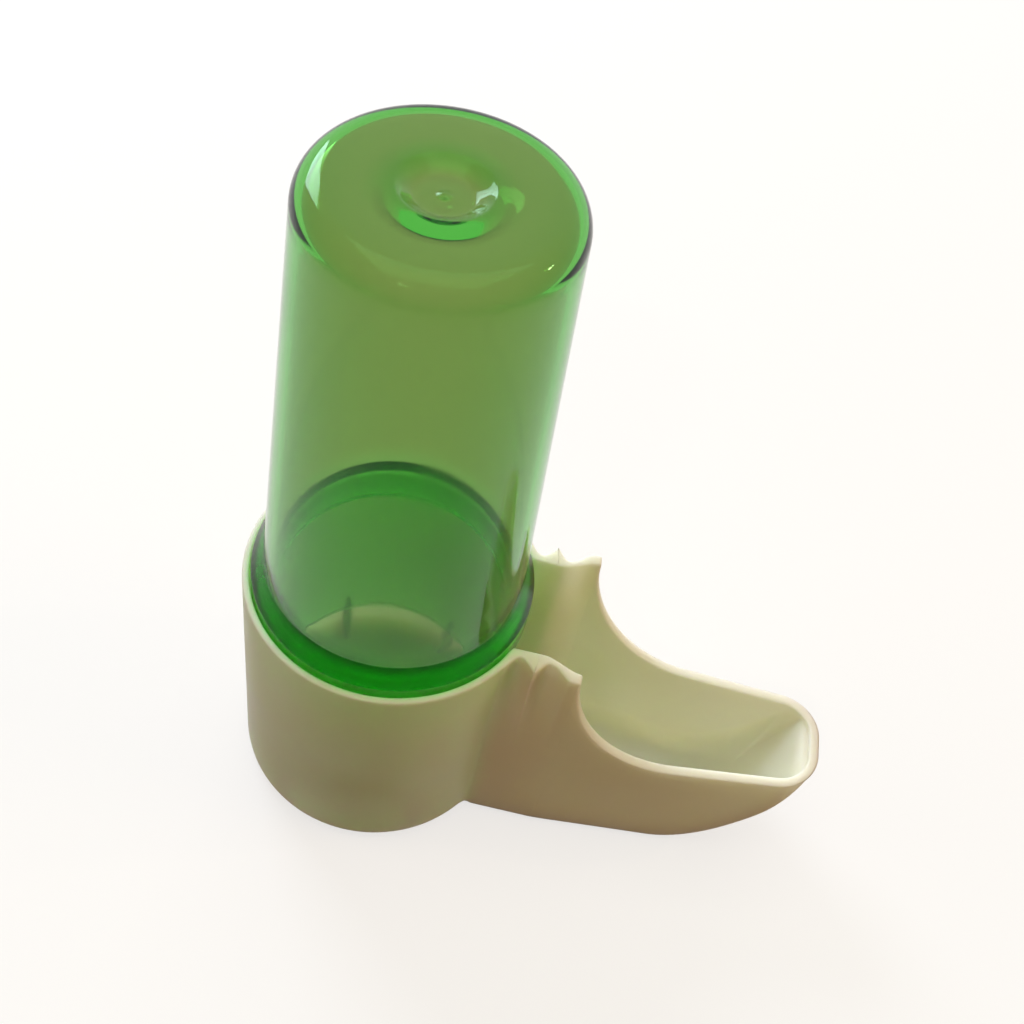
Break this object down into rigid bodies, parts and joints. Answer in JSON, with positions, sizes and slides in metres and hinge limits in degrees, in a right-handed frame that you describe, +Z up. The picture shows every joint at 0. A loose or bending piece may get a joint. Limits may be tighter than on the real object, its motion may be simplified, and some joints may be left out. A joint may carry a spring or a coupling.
{
  "type": "bird water tube",
  "caption": "Cage drinker for small birds: an upturned clear reservoir tube plugged into a moulded cup, with a grooved neck and an open slipper-shaped drinking trough.",
  "frame": {"origin": "centre of the cup's flat foot, on the tube's axis, in the plane of the table", "axes": "+Z up along the tube's axis, +X from the cup's axis along the neck to the trough's lip, Y across the neck"},
  "size_m": [0.0892, 0.042, 0.112],
  "materials": {
    "cream_polypropylene": "moulded satin",
    "clear_green_polystyrene": "polished transparent"
  },
  "bodies": {
    "base": {"drinker_base": "cream_polypropylene"},
    "tube": {"reservoir_tube": "clear_green_polystyrene"}
  },
  "joints": [
    {"name": "tube_lift", "type": "slide", "parent": "base", "child": "tube", "axis": [0, 0, 1], "range_m": [0, 0.04]}
  ]
}
